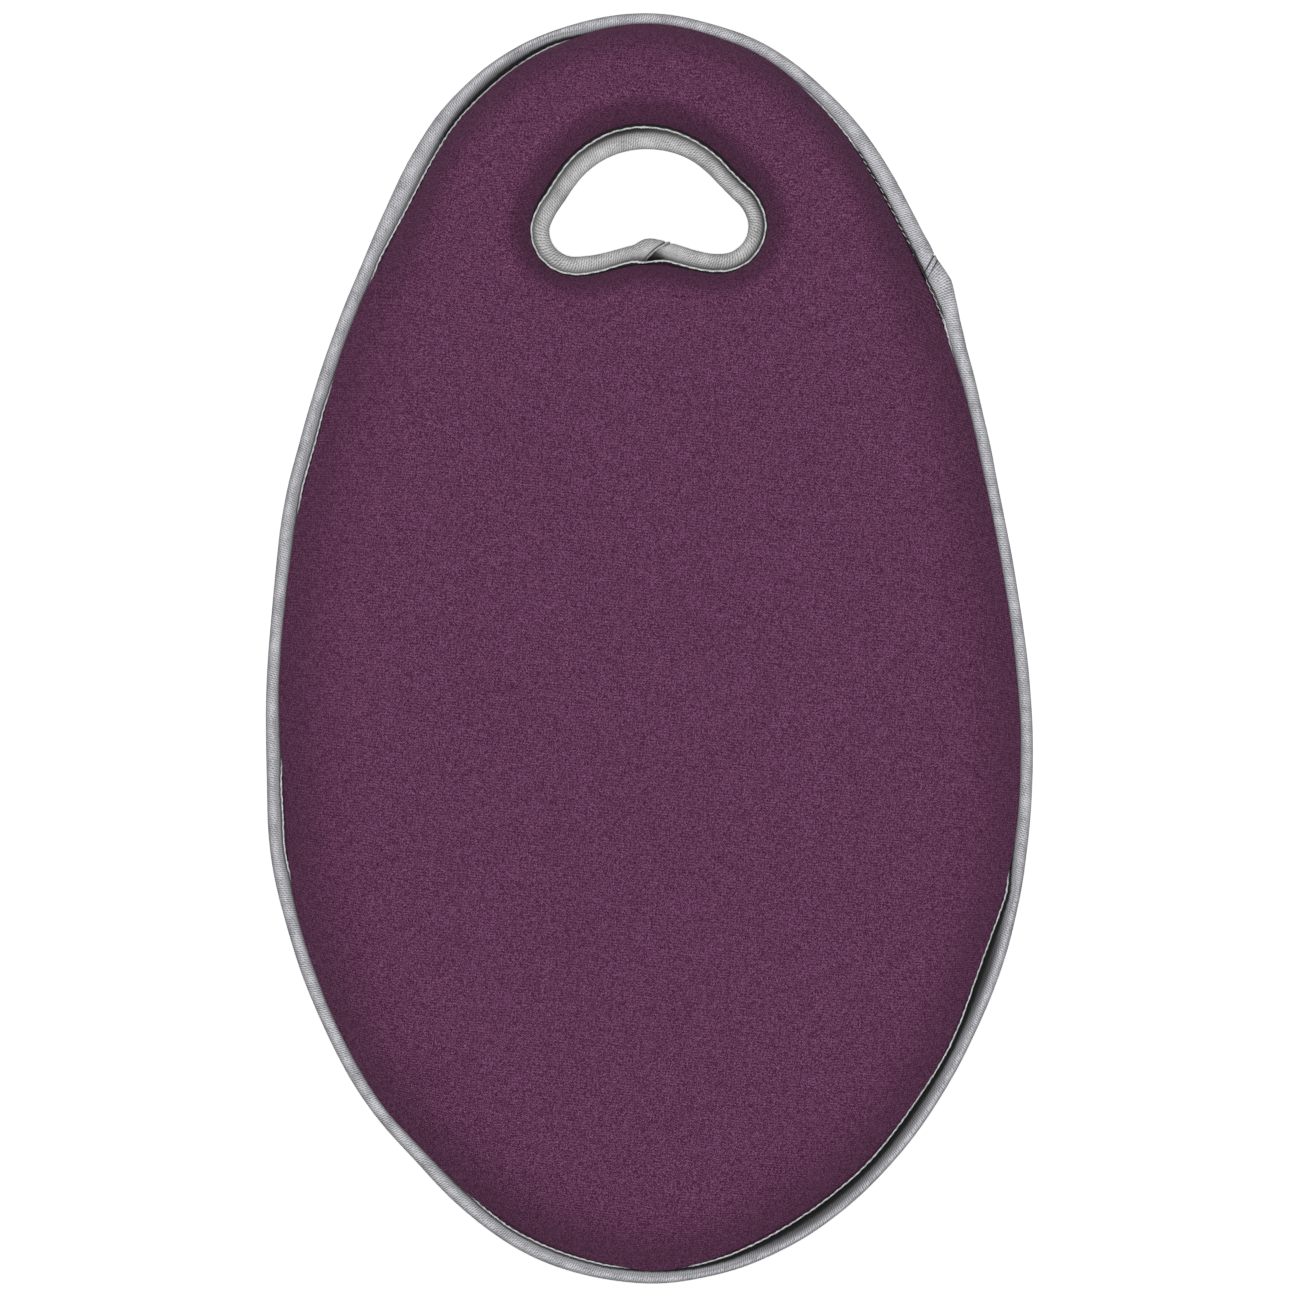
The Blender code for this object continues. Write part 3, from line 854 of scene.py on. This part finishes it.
def tape_material(name, dark, light):
    """Folded knit tape: fine cross ribs, a satin face, and shadow down in the sewn valley."""
    g = Graph(name, 0.55)
    tape = g.attribute("tape")
    # the third part is painted light: shade above 0, the lip's highlight below 0
    along, across, valley = g.parts(tape)
    ribs = g.math("ADD", along, g.math("MULTIPLY", across, 0.25))
    ribs = g.math("SINE", g.math("MULTIPLY", ribs, 2 * math.pi / RIB_PITCH))
    slant = g.math("ADD", g.math("MULTIPLY", along, 0.6), across)
    lines = g.math("SINE", g.math("MULTIPLY", slant, 2 * math.pi / TWILL_PITCH))
    grain = g.noise(tape, 1500.0, 2.0)
    cloud = g.noise(tape, 140.0, 2.0)
    weave = g.math("ADD", g.math("MULTIPLY", ribs, 0.30), g.math("MULTIPLY", lines, 0.16))
    shade = g.math("ADD", g.math("MULTIPLY", weave, 0.55), g.math("MULTIPLY", grain, 0.6))
    shade = g.math("ADD", shade, g.math("MULTIPLY", cloud, 0.6))
    colour = g.ramp(shade, [(0.35, dark), (0.85, light)])
    # painted shade: near-black where the tape lies in shadow
    colour = g.mix(valley, colour, VALLEY_SHADE_COLOUR)
    # painted highlight: the lip made pale where it is lit
    colour = g.mix(g.math("MULTIPLY", valley, -1.0), colour, LIP_HIGHLIGHT_COLOUR)
    g.shader.inputs["Specular IOR Level"].default_value = 0.12
    height = g.math("ADD", weave, g.math("MULTIPLY", grain, 0.5))
    return g.finish(colour, height, 0.14 * MM, 0.6)


def thread_material(name, colour):
    g = Graph(name, 0.5)
    place = g.node("ShaderNodeTexCoord").outputs["Object"]
    ply = g.noise(place, 2600.0, 1.0)
    low = tuple(0.7 * c for c in colour)
    return g.finish(g.ramp(ply, [(0.3, low), (0.7, colour)]), ply, 0.05 * MM, 0.5)


def foam_material(name, dark, light, cell):
    """Foam cells of about one size."""
    g = Graph(name, 0.9)
    place = g.node("ShaderNodeTexCoord").outputs["Object"]
    cells = g.node("ShaderNodeTexVoronoi", Vector=place, Scale=1 / cell).outputs["Distance"]
    return g.finish(g.ramp(cells, [(0.1, dark), (0.7, light)]), cells, 0.3 * MM, 0.6)


def floor_material():
    g = Graph("paper", 0.9)
    place = g.node("ShaderNodeTexCoord").outputs["Object"]
    fibre = g.noise(place, 900.0, 2.0)
    dark, light = PAPER_GREYS
    colour = g.ramp(fibre, [(0.3, dark), (0.7, light)])
    g.shader.inputs["Specular IOR Level"].default_value = 0.0
    g.shader.inputs["Emission Color"].default_value = (1.0, 1.0, 1.0, 1.0)
    g.shader.inputs["Emission Strength"].default_value = FLOOR_GLOW
    return g.finish(colour, fibre, 0.02 * MM, 0.1)


# ---------------------------------------------------------------- stage

def add_light(name, place, target, size, power):
    data = bpy.data.lights.new(name, "AREA")
    data.shape, data.size, data.energy = "DISK", size, power
    light = bpy.data.objects.new(name, data)
    light.location = place
    light.rotation_euler = (Vector(target) - Vector(place)).to_track_quat("-Z", "Y").to_euler()
    light.visible_camera = False
    bpy.context.scene.collection.objects.link(light)


def add_stage(centre):
    half = FLOOR_HALF
    floor = new_piece(
        "floor",
        [(-half, -half, 0.0), (half, -half, 0.0), (half, half, 0.0), (-half, half, 0.0)],
        [(0, 1, 2, 3)],
        floor_material(),
    )
    floor.visible_diffuse = False  # the pad is lit by the lamps alone
    for name, (azimuth, elevation, power) in LIGHTS.items():
        turn, lift = math.radians(azimuth), math.radians(elevation)
        level = LIGHT_DISTANCE * math.cos(lift)
        place = (level * math.sin(turn), level * math.cos(turn), LIGHT_DISTANCE * math.sin(lift))
        add_light(name, place, (*centre, 0.0), LIGHT_SIZE, power)
    world = bpy.data.worlds.new("studio")
    world.use_nodes = True
    world.node_tree.nodes["Background"].inputs[0].default_value = (1.0, 1.0, 1.0, 1.0)
    world.node_tree.nodes["Background"].inputs[1].default_value = WORLD_STRENGTH
    world.cycles_visibility.diffuse = False
    bpy.context.scene.world = world
    bpy.context.scene.view_settings.view_transform = "Standard"


def add_camera(seam):
    """Looks straight down at the pad."""
    data = bpy.data.cameras.new("camera")
    data.lens, data.sensor_width = LENS, SENSOR_WIDTH
    camera = bpy.data.objects.new("camera", data)
    camera.location = (*VIEW_CENTRE, seam + VIEW_WIDTH * LENS / SENSOR_WIDTH)
    bpy.context.scene.collection.objects.link(camera)
    bpy.context.scene.camera = camera


# ---------------------------------------------------------------- the pad

def keep(piece, slot, *nodes):
    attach(piece, "root")
    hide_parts(*nodes)
    return piece


def main():
    edge = Rim("edge_binding", False, EDGE_LOOKS)
    hole = Rim("handle_binding", True, HOLE_LOOKS)
    edge.other, hole.other = hole.loop, edge.loop

    front, back = sheet(edge, hole, 1), sheet(edge, hole, -1)
    rings = FLANGE_RINGS + BULGE_STEPS + SHOULDER_STEPS
    counts = ring_counts(edge, hole)
    tips = [(0, counts[0]), (rings * counts[0], counts[1])]
    moved = swell(front, back, tips)
    knit = knit_material("plum_knit", 1.0)
    back_knit = knit_material("plum_knit_back", BACK_TONE)
    skins = [
        keep(add_cover("front_skin", front, moved[0], 1, knit), "cover_knit", "front_cover"),
        keep(add_cover("back_skin", back, moved[1], -1, back_knit), "cover_knit", "back_cover"),
    ]
    cream = foam_material("memory_foam_cells", *CREAM_FOAM, CREAM_CELL)
    charcoal = foam_material("eva_foam_cells", *CHARCOAL_FOAM, CHARCOAL_CELL)
    cores = [
        keep(add_foam("memory_foam_core", edge, hole, 1, cream), "memory_foam",
             "memory_foam_layer"),
        keep(add_foam("eva_foam_core", edge, hole, -1, charcoal), "eva_foam", "eva_foam_layer"),
    ]

    edge_grey = tape_material("edge_tape_knit", *EDGE_GREYS)
    hole_grey = tape_material("handle_tape_knit", *HOLE_GREYS)
    keep(add_tape("edge_tape", edge, EDGE_JOINT, edge_grey), "tape_knit", "edge_binding")
    keep(add_tape("handle_tape", hole, HOLE_JOINT, hole_grey), "tape_knit", "handle_binding")

    thread = thread_material("pale_thread", THREAD_GREY)
    for place, rim in (("edge", edge), ("handle", hole)):
        for line, side in (("needle", 1), ("bobbin", -1)):
            stitches = add_stitches(f"{place}_{line}_stitches", rim, side, thread)
            keep(stitches, "thread", f"{place}_{line}_thread")

    add_stage((0.0, 0.0))
    add_camera(edge.seam)


main()
